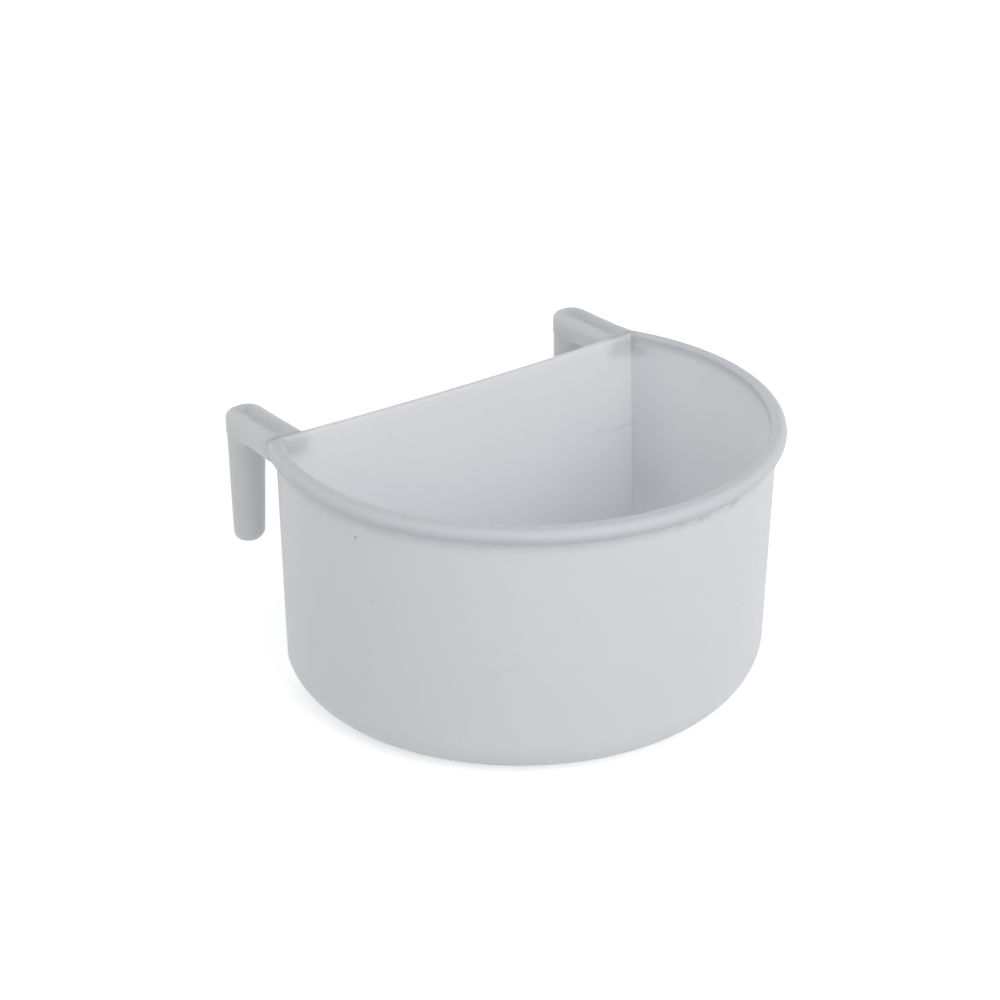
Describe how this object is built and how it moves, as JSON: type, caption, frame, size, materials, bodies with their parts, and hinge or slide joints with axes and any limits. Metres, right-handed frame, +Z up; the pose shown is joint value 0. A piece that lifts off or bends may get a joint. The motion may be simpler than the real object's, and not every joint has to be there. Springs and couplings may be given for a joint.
{
  "type": "seed cup",
  "caption": "D-shaped moulded seed cup with a rolled rim, a flat back wall and hooks at its back corners that hang it on cage wire",
  "frame": {"origin": "on the base plane, below the middle of the bowl's widest line", "axes": "+X along the back wall, to the right as seen from the front; +Y back towards the hooks; +Z up"},
  "size_m": [0.1, 0.0878, 0.0518],
  "materials": {
    "moulded_plastic": "satin"
  },
  "bodies": {
    "root": {"floor_pan": "moulded_plastic", "front_wall": "moulded_plastic", "back_wall": "moulded_plastic", "rim_bead": "moulded_plastic", "left_hook_arm": "moulded_plastic", "left_hook_prong": "moulded_plastic", "right_hook_arm": "moulded_plastic", "right_hook_prong": "moulded_plastic"}
  },
  "joints": []
}
